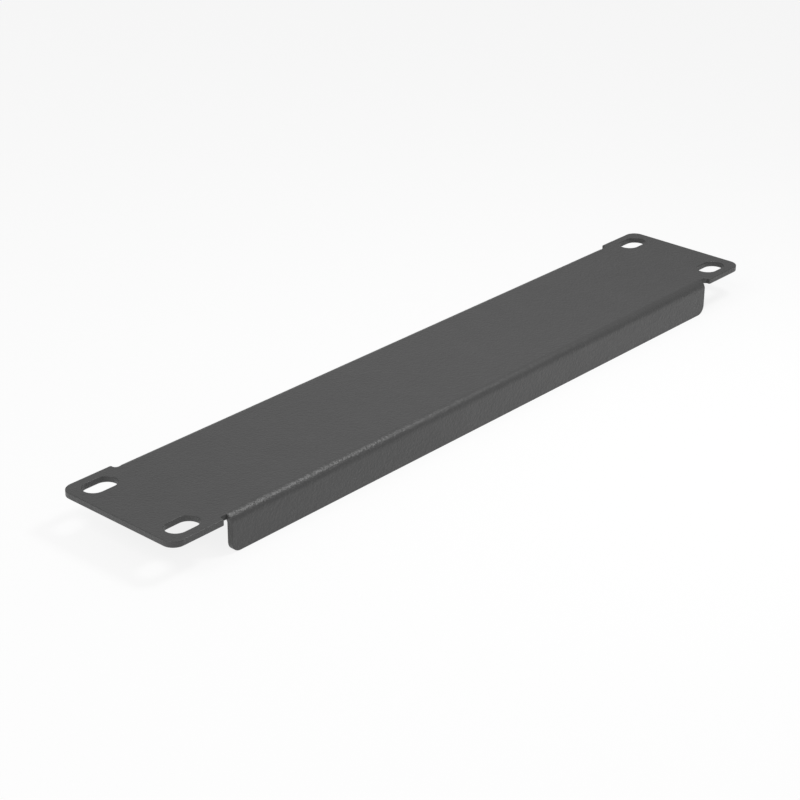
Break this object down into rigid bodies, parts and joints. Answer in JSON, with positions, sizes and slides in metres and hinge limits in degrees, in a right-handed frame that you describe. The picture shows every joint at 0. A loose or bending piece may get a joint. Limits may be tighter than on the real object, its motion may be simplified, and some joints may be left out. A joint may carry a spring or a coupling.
{
  "type": "rack blanking panel",
  "caption": "Folded steel panel with slotted ears and rear stiffening flanges, for closing an unused height unit at the front of a 10-inch equipment rack.",
  "frame": {"origin": "middle of the fixing slots' pattern, on the rear face of the ears, which meets the rack's rails", "axes": "+X along the panel from rail to rail, +Y up its height once fitted, +Z out of its front face towards the user"},
  "size_m": [0.254, 0.044, 0.0113],
  "materials": {
    "powder_coat": "matt dark grey powder coat with a fine texture"
  },
  "bodies": {
    "root": {"blanking_panel": "powder_coat"}
  },
  "joints": []
}
